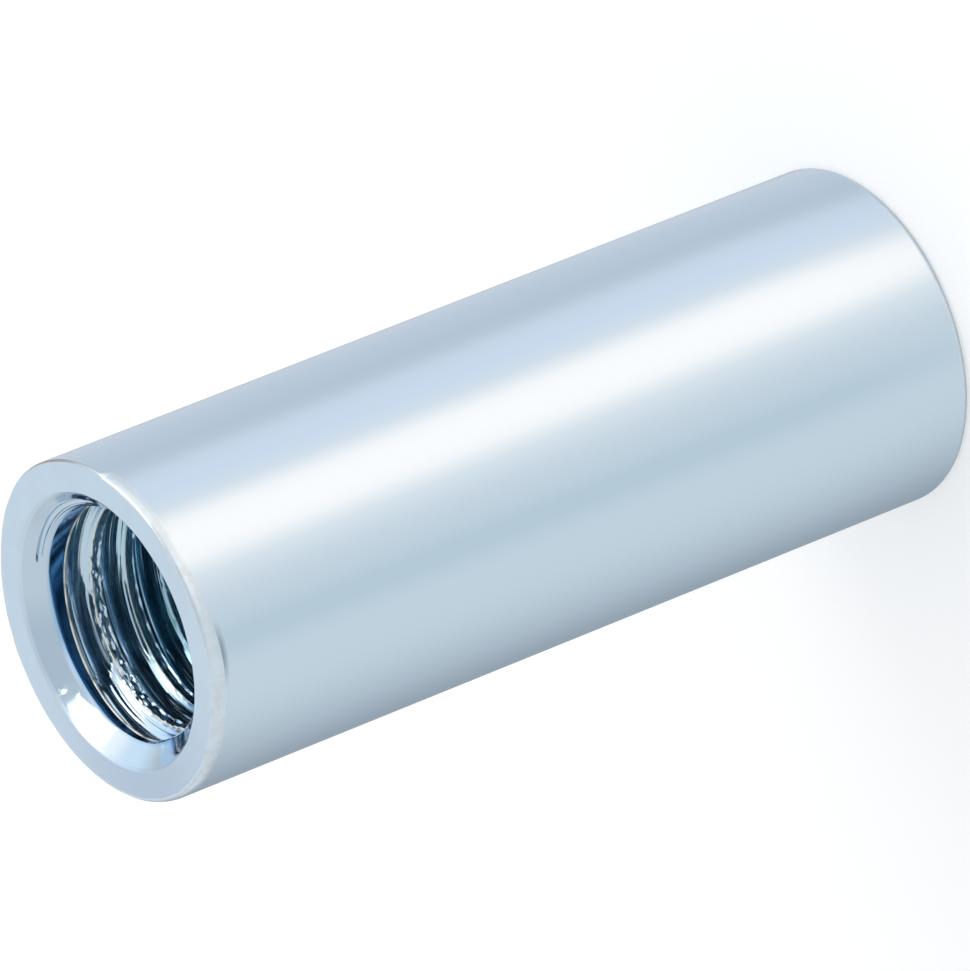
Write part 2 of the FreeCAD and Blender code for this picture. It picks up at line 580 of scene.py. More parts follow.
@dataclass(frozen=True)
class Thread:
    """A right-hand metric thread inside a sleeve."""

    major_radius: float = 6.0
    pitch: float = 1.75
    flank_slope: float = math.tan(math.radians(60))
    # from the top face down to where the first groove's middle would be on the +X side, past its run-out
    first_groove_depth: float = 0.91
    # the part of a turn over which the groove grows shallow and runs out, from the -X side on
    run_out_turn: float = 0.4

    @property
    def half_groove(self) -> float:
        """Half the width of a groove between two crests."""
        return self.pitch * 3 / 8

    @property
    def half_root(self) -> float:
        """Half the width of the flat at a groove's bottom."""
        return self.pitch / 16

    @property
    def minor_radius(self) -> float:
        """Radius of the crests, which are a quarter of the pitch wide."""
        return self.major_radius - (self.half_groove - self.half_root) * self.flank_slope

    @property
    def run_out_depth(self) -> float:
        """Depth of the groove's middle, below the top face, where the groove has run out."""
        return self.first_groove_depth + (0.5 - self.run_out_turn) * self.pitch

    @property
    def run_out_slope(self) -> float:
        """How much shallower the groove grows for each millimetre that it rises in its run-out."""
        return (self.major_radius - self.minor_radius) / (self.run_out_turn * self.pitch)


@dataclass(frozen=True)
class TapMarks:
    """The marks that the tap left in the bore.

    The tap ran off the bore's axis, so each mark has its own side. Depths are below the top face, and pairs
    are where a mark begins and where it is full.
    """

    # the 45 degree bevel where the inner edge of the lower flanks is rolled over: its width, and how many
    # times that it is all round, near the top face on the +X side, and between +Y and -X
    bevel: float = 0.27
    bevel_round: float = 0.1
    bevel_front: Stretch = Stretch(10, 0.42, 0.70, strength=1.2)
    bevel_back: Stretch = Stretch(142, 0.76, 0.90, strength=1.9)
    # depths over which it grows on the +X side, and over which it loses a share of its width at the back
    bevel_front_depths: tuple[float, float] = (5.2, 3.7)
    bevel_back_depths: tuple[float, float] = (2.7, 3.6)
    bevel_back_loss: float = 0.6
    # depths over which chatter and tears begin
    rough_depths: tuple[float, float] = (2.0, 2.4)
    # chatter on the lower flanks: its depth, and how many times more of it there is on the rough side
    chatter: float = 0.034
    rough_side: Stretch = Stretch(150, 0.5, 0.85)
    rough_chatter: float = 1.6
    # distances from the groove's middle, and past the bevel's edge, over which the chatter begins, and its
    # share on the bevel for each millimetre of the bevel's width
    chatter_from_middle: tuple[float, float] = (0.0, 0.1)
    chatter_past_bevel: tuple[float, float] = (-0.04, 0.06)
    chatter_on_bevel: float = 0.9
    # ridges along the lower flanks on the rough side: how far apart and deep they are, and how they sway
    ridge_pitch: float = 0.17
    ridge: float = 0.02
    ridge_sway: float = 2.0
    # tears in the crests: their depth all round, how much deeper they are on the torn sides, and the width
    # of the crest's edge over which they begin
    tear: float = 0.01
    torn_depth: float = 0.09
    torn_sides: tuple[Stretch, ...] = (Stretch(152, 0.6, 0.9), Stretch(78, 0.6, 0.9, strength=0.75))
    tear_edge: float = 0.1
    # distances below the topmost turn over which the torn sides lose a share of their depth
    torn_below: tuple[float, float] = (3.0, 4.0)
    torn_loss: float = 0.75
    # the tears come in patches: their mean strength, its swing and bounds, and how much they are drawn out
    patch_mean: float = 0.8
    patch_swing: float = 0.6
    patch_bounds: tuple[float, float] = (0.4, 1.2)
    patch_draw: float = 0.15
    # the band above the first groove that the tap rubbed: how much wider it is than the crests, the heights
    # above the groove's edge over which it begins, and where it is
    rubbed: float = 0.13
    rubbed_edge: tuple[float, float] = (-0.12, -0.06)
    rubbed_side: Stretch = Stretch(60, -0.5, -0.17)
    # the burr on the lower edge of each crest: its height and width, how many widths above the edge it is,
    # the mean and swing of its raggedness, and the groove's depths over which it begins
    burr: float = 0.065
    burr_width: float = 0.045
    burr_place: float = 0.9
    burr_mean: float = 0.7
    burr_swing: float = 0.5
    burr_from: tuple[float, float] = (0.3, 0.9)


@dataclass(frozen=True)
class Countersink:
    """The cone at a mouth of the bore, with a rounded outer edge and a nearly sharp inner one."""

    mouth_radius: float = 6.125
    half_angle: float = math.radians(45)
    edge_rounding: float = 0.2
    inner_rounding: float = 0.02

    def radius(self, depth: np.ndarray) -> np.ndarray:
        """Return the cone's radius at depths below the face."""
        return self.mouth_radius - depth * math.tan(self.half_angle)

    def edge(self, turn: float) -> tuple[float, float]:
        """Return how far outside the mouth's radius and below the face the rounded edge is.

        Args:
            turn: where on the edge, from 0 on the face to 1 on the cone.

        Returns:
            The distance outwards and the depth.
        """
        steep = math.pi / 2 - self.half_angle
        centre = self.edge_rounding * math.tan(steep / 2)
        bend = turn * steep
        return centre - self.edge_rounding * math.sin(bend), self.edge_rounding * (1 - math.cos(bend))


@dataclass(frozen=True)
class MouthMarks:
    """The marks on the top countersink. Angles are in degrees, and depths are below the face."""

    # where its inner edge is softer, and how much more it is rounded there
    soft_side: Stretch = Stretch(95, 0.64, 0.9, strength=0.22)
    # rings that the countersinking tool scored part of the way round: their depths and cuts
    score_rings: tuple[tuple[float, float], ...] = (
        (0.51, -0.012), (0.54, 0.0), (0.595, 0.058), (0.65, 0.115), (0.675, 0.0),
        (0.70, -0.012), (0.74, 0.012), (0.78, -0.010), (0.82, 0.010), (0.86, -0.004),
    )
    # angles over which the scored rings begin and end
    scored_from: tuple[float, float] = (-25, -10)
    scored_to: tuple[float, float] = (42, 55)
    # pits knocked into it: their angles, depths and sizes, how deep they are for their size, and how steep
    pits: tuple[tuple[float, float, float], ...] = ((105.0, 0.36, 0.21), (110.0, 0.655, 0.09))
    pit_share: float = 0.6
    pit_steepness: float = 4.0
    # how far the outer edge drifts from its circle, and how far its small specks stand off it
    edge_drift: float = 0.02
    edge_speck: float = 0.012

    def cut(self, depth: float, angle: np.ndarray) -> np.ndarray:
        """Return how deep the tool scored the cone.

        Args:
            depth: the depth of a ring of points.
            angle: angles round the axis, in radians.

        Returns:
            Cuts in millimetres, which are 0 at a depth that isn't a scored ring's.
        """
        scored = smooth_step(angle, *np.radians(self.scored_from))
        scored = scored * (1 - smooth_step(angle, *np.radians(self.scored_to)))
        return dict(self.score_rings).get(depth, 0.0) * scored


@dataclass(frozen=True)
class TopLip:
    """The rubbed lip round the top edge of the side, which is all but worn away on the +X side."""

    width: float = 0.24
    height: float = 0.6
    # how far its inner and its lower edge drift, and how far their small specks stand off them
    width_drift: float = 0.035
    width_speck: float = 0.022
    height_drift: float = 0.10
    height_speck: float = 0.05
    # how much of it is left where it is worn, and the angles in degrees over which it comes back to its full
    # size: abruptly towards -Y, and slowly towards +Y
    worn_share: float = 0.2
    abrupt_end: tuple[float, float] = (-35, -37)
    slow_end: tuple[float, float] = (5, 40)

    def share(self, angle: np.ndarray) -> np.ndarray:
        """Return how much of the lip's full size there is.

        Args:
            angle: angles round the axis, in radians.

        Returns:
            Shares from the worn one to 1.
        """
        degrees = np.degrees(angle)
        there = np.maximum(smooth_step(degrees, *self.abrupt_end), smooth_step(degrees, *self.slow_end))
        return self.worn_share + (1 - self.worn_share) * there


class Zone(Enum):
    """The surfaces of the nut, in the order of its material slots."""

    SIDE = 0
    FACE = 1
    LIP = 2
    BORE = 3


@dataclass
class SleeveNut:
    """The sleeve nut: its whole surface as one closed mesh, with a finish for each zone."""

    length: float
    outer_radius: float
    name: str = "sleeve_nut_body"
    thread: Thread = Thread()
    tap_marks: TapMarks = TapMarks()
    mouth: Countersink = Countersink()
    mouth_marks: MouthMarks = MouthMarks()
    lip: TopLip = TopLip()
    bottom_corner: float = 0.4
    # the angle between two faces above which their edge is drawn sharp
    sharp_angle: float = math.radians(28)
    columns: int = 372
    # the seam of the helical rows is on the side where the bore is seen least
    seam_angle: float = -math.pi / 2
    # depth below each face from which the rows follow the helix, and depth down to which they are fine
    helix_from: float = 0.95
    fine_depth: float = 8.0
    # rows of the fine stretch on the lower flank, which shows most, on the crest and on the upper flank
    flank_rows: int = 18
    crest_rows: int = 10
    hidden_rows: int = 5
    # the power that crowds the rows together at the burr, between the upper flank and the crest
    crowding: float = 1.5
    # how far from the bore's ends the nearest row is at least, in distances between two rows of a flank
    end_gap: float = 0.4
    # depths of the rings on the countersinks: at the top, inside and outside the scored ones
    inner_rings: tuple[float, ...] = (0.905,)
    outer_rings: tuple[float, ...] = (0.50, 0.44, 0.38, 0.32, 0.24, 0.15)
    bottom_rings: tuple[float, ...] = (0.6, 0.3)
    # rings on the rounded edge of a countersink, and on the side
    edge_rings: int = 5
    side_rings: int = 5
    # shares of the way across the top face, and margins of the bottom face's rings
    face_shares: tuple[float, ...] = (0.15, 0.45, 0.75, 0.97)
    face_margin: float = 0.05
    # angles of the rings on the lip and on the bottom corner, in degrees
    lip_bends: tuple[int, ...] = (8, 20, 33, 46, 58, 68, 77, 85, 90)
    corner_bends: tuple[int, ...] = (15, 35, 55, 75, 90)

    def __post_init__(self) -> None:
        """Set up the noise that roughens the steel, and empty lists for the mesh."""
        self.angles = self.seam_angle + np.arange(self.columns) * 2 * math.pi / self.columns
        self.tear_noise = PatchyNoise(seed=11, around=150, along=0.11)
        self.burr_noise = PatchyNoise(seed=13, around=110, along=0.5)
        self.chatter_noise = PatchyNoise(seed=12, around=12, along=0.085)
        self.speck_noise = PatchyNoise(seed=14, around=64, along=1.0)
        self.drift_noise = PatchyNoise(seed=15, around=13, along=1.0)
        self.points: list[np.ndarray] = []
        self.point_count = 0
        self.faces: list[tuple[int, ...]] = []
        self.face_zones: list[int] = []

    @property
    def first_groove(self) -> float:
        """Height of the middle of the groove's topmost turn, which runs out, less the helix's rise."""
        return self.length - self.thread.first_groove_depth

    @property
    def groove_edge(self) -> float:
        """Height of the upper edge of the first whole turn of the groove, less the helix's rise."""
        return self.first_groove - self.thread.pitch + self.thread.half_groove

    def helix_height(self, angle: np.ndarray, height: np.ndarray) -> np.ndarray:
        """Return heights with the rise of the helix taken off, which stay the same along the thread."""
        return height - self.thread.pitch * angle / (2 * math.pi)

    def bevel_width(self, angle: np.ndarray, height: np.ndarray) -> np.ndarray:
        """Return how wide the inner edge of the lower flanks is rolled over.

        Args:
            angle: angles round the axis, in radians.
            height: heights above the bottom face.

        Returns:
            Widths in millimetres.
        """
        marks = self.tap_marks
        depth = self.length - height
        front = marks.bevel_front.at(angle) * smooth_step(depth, *marks.bevel_front_depths)
        lost = marks.bevel_back_loss * smooth_step(depth, *marks.bevel_back_depths)
        back = marks.bevel_back.at(angle) * (1 - lost)
        return marks.bevel * (marks.bevel_round + front + back)

    def groove_depth(self, offset: np.ndarray, run_out: np.ndarray, bevel: np.ndarray) -> np.ndarray:
        """Return how deep the groove is cut.

        Args:
            offset: heights above the middle of the nearest groove.
            run_out: how deep the run-out at the top lets it be.
            bevel: how wide its lower flank's inner edge is rolled over.

        Returns:
            Depths outside the crests.
        """
        thread = self.thread
        inward = thread.half_groove + offset
        upper = (thread.half_groove - offset) * thread.flank_slope
        lower = inward + np.maximum(inward - bevel, 0) * (thread.flank_slope - 1)
        full = thread.major_radius - thread.minor_radius
        return np.maximum(np.minimum(np.clip(run_out, 0, full), np.minimum(upper, lower)), 0)

    def flank_marks(self, angle: np.ndarray, along: np.ndarray, offset: np.ndarray,
                    bevel: np.ndarray) -> np.ndarray:
        """Return how deep the chatter and the ridges along the lower flanks are.

        Args:
            angle: angles round the axis, in radians.
            along: heights less the helix's rise.
            offset: heights above the middle of the nearest groove.
            bevel: how wide the lower flank's inner edge is rolled over.

        Returns:
            Depths in millimetres.
        """
        marks = self.tap_marks
        inward = self.thread.half_groove + offset
        past_bevel = smooth_step(inward - bevel, *marks.chatter_past_bevel)
        on_flank = smooth_step(-offset, *marks.chatter_from_middle) * (inward > 0)
        on_flank = on_flank * np.maximum(marks.chatter_on_bevel * bevel, past_bevel)
        rough = marks.rough_side.at(angle)
        uneven = self.chatter_noise.at(angle, along)
        ridges = np.sin(2 * math.pi * along / marks.ridge_pitch + marks.ridge_sway * uneven)
        chatter = marks.chatter * (1 + marks.rough_chatter * rough) * uneven
        return on_flank * (chatter + marks.ridge * rough * ridges)

    def crest_tears(self, angle: np.ndarray, along: np.ndarray, offset: np.ndarray) -> np.ndarray:
        """Return how deep the crests are torn.

        Args:
            angle: angles round the axis, in radians.
            along: heights less the helix's rise.
            offset: heights above the middle of the nearest groove.

        Returns:
            Depths in millimetres.
        """
        marks = self.tap_marks
        half = self.thread.half_groove
        crest = smooth_step(np.abs(offset), half - marks.tear_edge, half)
        torn = sum(side.at(angle) for side in marks.torn_sides)
        torn = torn * (1 - marks.torn_loss * smooth_step(self.first_groove - along, *marks.torn_below))
        patches = self.chatter_noise.at(angle, marks.patch_draw * along)
        patchy = np.clip(marks.patch_mean + marks.patch_swing * patches, *marks.patch_bounds)
        return self.tear_noise.at(angle, along) * patchy * crest * (marks.tear + marks.torn_depth * torn)

    def burr_height(self, angle: np.ndarray, along: np.ndarray, above_edge: np.ndarray) -> np.ndarray:
        """Return how far the burr on the lower edges of the crests stands in.

        Args:
            angle: angles round the axis, in radians.
            along: heights less the helix's rise.
            above_edge: heights above the edge of the groove.

        Returns:
            Heights in millimetres.
        """
        marks = self.tap_marks
        beside = above_edge / marks.burr_width - marks.burr_place
        ragged = marks.burr_mean + marks.burr_swing * self.burr_noise.at(angle, along)
        return marks.burr * ragged * np.exp(-beside * beside)

    def thread_radius(self, angle: np.ndarray, height: np.ndarray) -> np.ndarray:
        """Return the thread's radius, with its run-out at the top and the marks that the tap left.

        Args:
            angle: angles round the axis, in radians, rising from the seam.
            height: heights above the bottom face.

        Returns:
            Radii in millimetres.
        """
        thread = self.thread
        marks = self.tap_marks
        along = self.helix_height(angle, height)
        offset = (along - self.first_groove + thread.pitch / 2) % thread.pitch - thread.pitch / 2
        run_out = (self.length - thread.run_out_depth - (height - offset)) * thread.run_out_slope
        bevel = self.bevel_width(angle, height)
        groove = self.groove_depth(offset, run_out, bevel)
        rough = self.flank_marks(angle, along, offset, bevel) + self.crest_tears(angle, along, offset)
        rough = rough * smooth_step(self.length - height, *marks.rough_depths)
        rubbed = marks.rubbed * smooth_step(along - self.groove_edge, *marks.rubbed_edge)
        rubbed = rubbed * marks.rubbed_side.at(angle)
        above_edge = offset - thread.half_groove + rubbed / thread.flank_slope
        burr = self.burr_height(angle, along, above_edge) * smooth_step(run_out, *marks.burr_from)
        return thread.minor_radius + np.maximum(groove, rubbed) + rough - burr

    def bore_radius(self, angle: np.ndarray, height: np.ndarray) -> np.ndarray:
        """Return the radius of the tapped bore with its countersinks.

        Args:
            angle: angles round the axis, in radians, rising from the seam.
            height: heights above the bottom face.

        Returns:
            Radii in millimetres.
        """
        rounding = self.mouth.inner_rounding
        top = self.mouth.radius(self.length - height)
        bottom = self.mouth.radius(height)
        soft = rounding + self.mouth_marks.soft_side.at(angle)
        return smooth_larger(smooth_larger(self.thread_radius(angle, height), top, soft), bottom, rounding)

    def add_points(self, radius: np.ndarray, height: np.ndarray, angle: np.ndarray) -> np.ndarray:
        """Add points to the mesh.

        Args:
            radius: their distances from the axis.
            height: their heights above the bottom face.
            angle: their angles round the axis, in radians.

        Returns:
            The points' numbers.
        """
        place = np.column_stack([radius * np.cos(angle), radius * np.sin(angle), height])
        numbers = np.arange(self.point_count, self.point_count + len(place))
        self.points.append(place)
        self.point_count += len(place)
        return numbers

    def add_ring(self, radius: float | np.ndarray, height: float | np.ndarray) -> np.ndarray:
        """Add a ring with one point in each column.

        Args:
            radius: the points' distances from the axis.
            height: their heights above the bottom face.

        Returns:
            The points' numbers.
        """
        radius = np.broadcast_to(radius, self.columns).astype(float)
        height = np.broadcast_to(height, self.columns).astype(float)
        return self.add_points(radius, height, self.angles)

    def bridge(self, upper: np.ndarray, lower: np.ndarray, zone: Zone) -> None:
        """Join two rings with quads, going down the outside or up the inside.

        Args:
            upper: the first ring's points.
            lower: the second ring's points.
            zone: the surface that the quads are part of.
        """
        for column in range(self.columns):
            following = (column + 1) % self.columns
            self.faces.append((upper[column], lower[column], lower[following], upper[following]))
            self.face_zones.append(zone.value)

    def helix_rows(self) -> np.ndarray:
        """Lay out the helical rows, close near the top and wide below.

        Returns:
            The rows' heights, less the helix's rise.
        """
        pitch = self.thread.pitch
        half = self.thread.half_groove
        root = self.thread.half_root
        up_flank = 1 - np.arange(self.hidden_rows) / self.hidden_rows
        up_crest = np.arange(self.crest_rows) / self.crest_rows
        fine = np.concatenate([
            half * (1 - up_flank ** self.crowding),
            half + (pitch - 2 * half) * up_crest ** self.crowding,
            np.linspace(pitch - half, pitch, self.flank_rows, endpoint=False),
        ])
        coarse = np.array([root, half, pitch - half, pitch - root])
        rows = []
        # The helix's rise can lift a row by most of a turn, so the turns go on past both ends.
        for turn in range(-math.ceil(self.length / pitch) - 1, 2):
            start = self.first_groove + turn * pitch
            rows.append(start + (fine if start >= self.length - self.fine_depth else coarse))
        return np.concatenate(rows)

    def column_of_bore(self, column: int, rows: np.ndarray, low: int,
                       high: int) -> tuple[np.ndarray, np.ndarray]:
        """Add the bore's points in one column.

        Args:
            column: the column's number.
            rows: heights of the helical rows, less the helix's rise.
            low: number of the point at the column's lower end.
            high: number of the point at its upper end.

        Returns:
            The numbers of the column's points from bottom to top, and their heights less the helix's rise.
        """
        angle = self.angles[column]
        rise = self.thread.pitch * angle / (2 * math.pi)
        gap = self.end_gap * self.thread.half_groove / self.flank_rows
        bottom = self.helix_from
        top = self.length - self.helix_from
        heights = rows + rise
        heights = heights[(heights > bottom + gap) & (heights < top - gap)]
        around = np.full(len(heights), angle)
        numbers = self.add_points(self.bore_radius(around, heights), heights, around)
        numbers = np.concatenate([[low], numbers, [high]])
        keys = np.concatenate([[bottom - rise], heights - rise, [top - rise]])
        return numbers, keys

    def zip_columns(self, left: np.ndarray, left_keys: np.ndarray, right: np.ndarray,
                    right_keys: np.ndarray) -> None:
        """Join two neighbouring columns, with quads where their rows match and triangles where one ends.

        Args:
            left: the first column's points, from bottom to top.
            left_keys: their heights, less the helix's rise.
            right: the points of the column that follows it.
            right_keys: their heights, less the helix's rise.
        """
        here = 0
        there = 0
        last_here = len(left) - 1
        last_there = len(right) - 1
        while here < last_here or there < last_there:
            if here == last_here:
                ahead = 1.0
            elif there == last_there:
                ahead = -1.0
            elif here == last_here - 1 or there == last_there - 1:
                ahead = float(here == last_here - 1) - float(there == last_there - 1)
            else:
                ahead = left_keys[here + 1] - right_keys[there + 1]
            if abs(ahead) < SAME:
                face = (left[here], right[there], right[there + 1], left[here + 1])
                here += 1
                there += 1
            elif ahead < 0:
                face = (left[here], right[there], left[here + 1])
                here += 1
            else:
                face = (left[here], right[there], right[there + 1])
                there += 1
            self.faces.append(face)
            self.face_zones.append(Zone.BORE.value)

    def build_thread(self, low_ring: np.ndarray, high_ring: np.ndarray) -> None:
        """Fill the bore between the rings at its two ends, with rows that follow the helix.

        Args:
            low_ring: the points of the ring at the lower end.
            high_ring: the points of the ring at the upper end.
        """
        rows = self.helix_rows()
        strips = []
        for column in range(self.columns):
            strips.append(self.column_of_bore(column, rows, low_ring[column], high_ring[column]))
        for column in range(self.columns):
            numbers, keys = strips[column]
            next_numbers, next_keys = strips[(column + 1) % self.columns]
            if column == self.columns - 1:
                next_keys = next_keys - self.thread.pitch
            self.zip_columns(numbers, keys, next_numbers, next_keys)

    def top_mouth_radius(self, depth: float) -> np.ndarray:
        """Return the top countersink's radii in each column, with the marks on it.

        Args:
            depth: the depth below the face.

        Returns:
            Radii in millimetres.
        """
        marks = self.mouth_marks
        radius = self.bore_radius(self.angles, np.full(self.columns, self.length - depth))
        radius = radius + marks.cut(depth, self.angles)
        for angle, pit_depth, size in marks.pits:
            across = (self.angles - math.radians(angle)) * radius / size
            along = (depth - pit_depth) / size
            hollow = np.exp(-marks.pit_steepness * (across * across + along * along))
            radius = radius + marks.pit_share * size * hollow
        return radius

    def mouth_rings(self, wobble: np.ndarray, top: bool) -> list[tuple[np.ndarray, np.ndarray, Zone]]:
        """Return a countersink's rings from inside out.

        Args:
            wobble: how far outside its true place the mouth's edge is in each column.
            top: whether this is the top countersink, which has marks on it.

        Returns:
            For each ring its radii, its depths below the face and its zone.
        """
        mouth = self.mouth
        flat = np.ones(self.columns)
        rings = []
        if top:
            scored = [depth for depth, _ in reversed(self.mouth_marks.score_rings)]
            for depth in (self.helix_from, *self.inner_rings, *scored, *self.outer_rings):
                rings.append((self.top_mouth_radius(depth), depth * flat, Zone.BORE))
        else:
            for depth in (self.helix_from, *self.bottom_rings):
                rings.append((mouth.radius(depth * flat), depth * flat, Zone.BORE))
        for turn in np.linspace(1, 0, self.edge_rings):
            outwards, depth = mouth.edge(turn)
            rings.append((mouth.mouth_radius + outwards + wobble, depth * flat, Zone.FACE))
        return rings

    def build_mesh(self) -> bpy.types.Mesh:
        """Build the closed mesh, ring by ring from the top mouth out, down and back in, then the thread.

        Returns:
            The mesh in metres, with its material slot numbers set.
        """
        top = self.length
        corner = self.bottom_corner
        still = np.zeros(self.columns)
        drift = self.drift_noise.at(self.angles, still)
        speck = self.speck_noise.at(self.angles, still)
        wobble = self.mouth_marks.edge_drift * drift + self.mouth_marks.edge_speck * speck
        there = self.lip.share(self.angles)
        lip_width = self.lip.width - self.lip.width_drift * drift - self.lip.width_speck * speck
        lip_height = self.lip.height - self.lip.height_drift * drift - self.lip.height_speck * speck
        lip_inner = self.outer_radius - lip_width * there
        lip_lower = top - lip_height * there
        face_radius = self.mouth.mouth_radius + self.mouth.edge(0.0)[0]
        face_start = face_radius + wobble

        rings = []
        for radius, depth, zone in self.mouth_rings(wobble, top=True):
            rings.append((self.add_ring(radius, top - depth), zone))
        for share in self.face_shares:
            rings.append((self.add_ring(face_start + (lip_inner - face_start) * share, top), Zone.FACE))
        for bend in np.radians(self.lip_bends):
            radius = lip_inner + (self.outer_radius - lip_inner) * math.sin(bend)
            rings.append((self.add_ring(radius, lip_lower + (top - lip_lower) * math.cos(bend)), Zone.LIP))
        for share in np.linspace(0, 1, self.side_rings + 1)[1:]:
            height = lip_lower + (corner - lip_lower) * share
            rings.append((self.add_ring(self.outer_radius, height), Zone.SIDE))
        for bend in np.radians(self.corner_bends):
            radius = self.outer_radius - corner * (1 - math.cos(bend))
            rings.append((self.add_ring(radius, corner * (1 - math.sin(bend))), Zone.LIP))
        for radius in (self.outer_radius - corner - self.face_margin, face_radius + self.face_margin):
            rings.append((self.add_ring(radius, 0), Zone.FACE))
        for radius, depth, zone in reversed(self.mouth_rings(still, top=False)):
            rings.append((self.add_ring(radius, depth), zone))
        for (upper, _), (lower, zone) in zip(rings[:-1], rings[1:]):
            self.bridge(upper, lower, zone)
        self.build_thread(rings[-1][0], rings[0][0])
        return self.as_mesh()

    def as_mesh(self) -> bpy.types.Mesh:
        """Turn the points and faces into a mesh, with the coordinates that its finishes use.

        Returns:
            The mesh in metres.
        """
        points = np.concatenate(self.points)
        mesh = bpy.data.meshes.new(self.name)
        faces = [tuple(int(number) for number in face) for face in self.faces]
        mesh.from_pydata((points * MM).tolist(), [], faces)
        mesh.polygons.foreach_set("material_index", np.array(self.face_zones, dtype=np.int32))
        mesh.update()
        mesh.shade_smooth()
        mesh.set_sharp_from_angle(angle=self.sharp_angle)

        # Each corner keeps its own turn and height along the helix, so that they don't jump at the seam.
        corners = np.empty(len(mesh.loops), dtype=np.int32)
        mesh.loops.foreach_get("vertex_index", corners)
        starts = np.empty(len(mesh.polygons), dtype=np.int32)
        mesh.polygons.foreach_get("loop_start", starts)
        turn = np.arctan2(points[:, 1], points[:, 0])
        turn = np.where(turn < self.seam_angle - SAME, turn + 2 * math.pi, turn)[corners]
        widest = np.maximum.reduceat(turn, starts)
        sizes = np.diff(np.append(starts, len(corners)))
        turn = np.where(np.repeat(widest, sizes) - turn > math.pi, turn + 2 * math.pi, turn)
        coordinates = {
            "turn": turn,
            "helix_height": self.helix_height(turn, points[corners, 2]),
            "depth": np.minimum(points[corners, 2], self.length - points[corners, 2]),
        }
        for name, values in coordinates.items():
            attribute = mesh.attributes.new(name, "FLOAT", "CORNER")
            attribute.data.foreach_set("value", values.astype(np.float32))
        return mesh

    def finishes(self) -> dict[Zone, ZincPlate]:
        """Choose the finish of each zone.

        Returns:
            The finishes, by zone.
        """
        top = self.length
        return {
            # turned and polished: a broad soft highlight, and a darker grey patch near the top lip
            Zone.SIDE: ZincPlate(
                "turned_steel_bright_zinc_plated", roughness=0.22, grain_size=1.6, grain_depth=0.0006,
                tint="#97a6b2", tint_place=(-2.57, -7.05, top - 0.7), tint_reach=1.7, tint_flatness=6.0,
            ),
            # faced: even and a little dull, with faint stains, and painted shade: the tint darkens it
            # towards -X
            Zone.FACE: StainedZinc(
                "faced_steel_bright_zinc_plated", roughness=0.24, grain_size=0.9, grain_depth=0.001,
                tint="#b6c7da", tint_place=(-6.6, 1.2, top), tint_reach=8.0,
                stain_amount=0.08, stain_size=1.5,
            ),
            # rubbed: paler, with faint warm stains, and brownish on the +X side
            Zone.LIP: StainedZinc(
                "rubbed_edge_bright_zinc_plated", colour="#cfdde9", roughness=0.27, grain_size=0.4,
                grain_depth=0.003, tint="#9f9995", tint_place=(7.2, -1.2, top), tint_reach=3.6,
                stain_amount=0.22, stain_size=0.6,
            ),
            # countersunk and tapped: a sharp mirror of the studio, with painted shade: a darker, fuller blue
            # on the countersink's inner edge at -X
            Zone.BORE: TappedZinc(
                "tapped_steel_bright_zinc_plated", colour="#bccede", roughness=0.11, grain_depth=0.03,
                tint="#4f94cf", tint_place=(-5.1, -1.6, top - 0.92), tint_reach=1.6, tint_flatness=2.6,
                pitch=self.thread.pitch, upper_edge=self.groove_edge,
                lower_edge=self.groove_edge - 2 * self.thread.half_groove,
            ),
        }

    def build(self) -> bpy.types.Object:
        """Build the nut, dress it and place it in the frame.

        Returns:
            The nut.
        """
        mesh = self.build_mesh()
        finishes = self.finishes()
        for zone in Zone:
            mesh.materials.append(finishes[zone].build())
        body = bpy.data.objects.new(self.name, mesh)
        bpy.context.scene.collection.objects.link(body)
        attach(body, "root")
        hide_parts(CAD_NODE)
        return body


@dataclass(frozen=True)
class TentPatch:
    """A soft patch in the light tent that the metal reflects.

    Angles are in degrees. The light is linear red, green and blue, and above 1 where a lamp shines through.
    """

    azimuth: float
    elevation: float
    radius: float
    softness: float
    light: tuple[float, float, float]


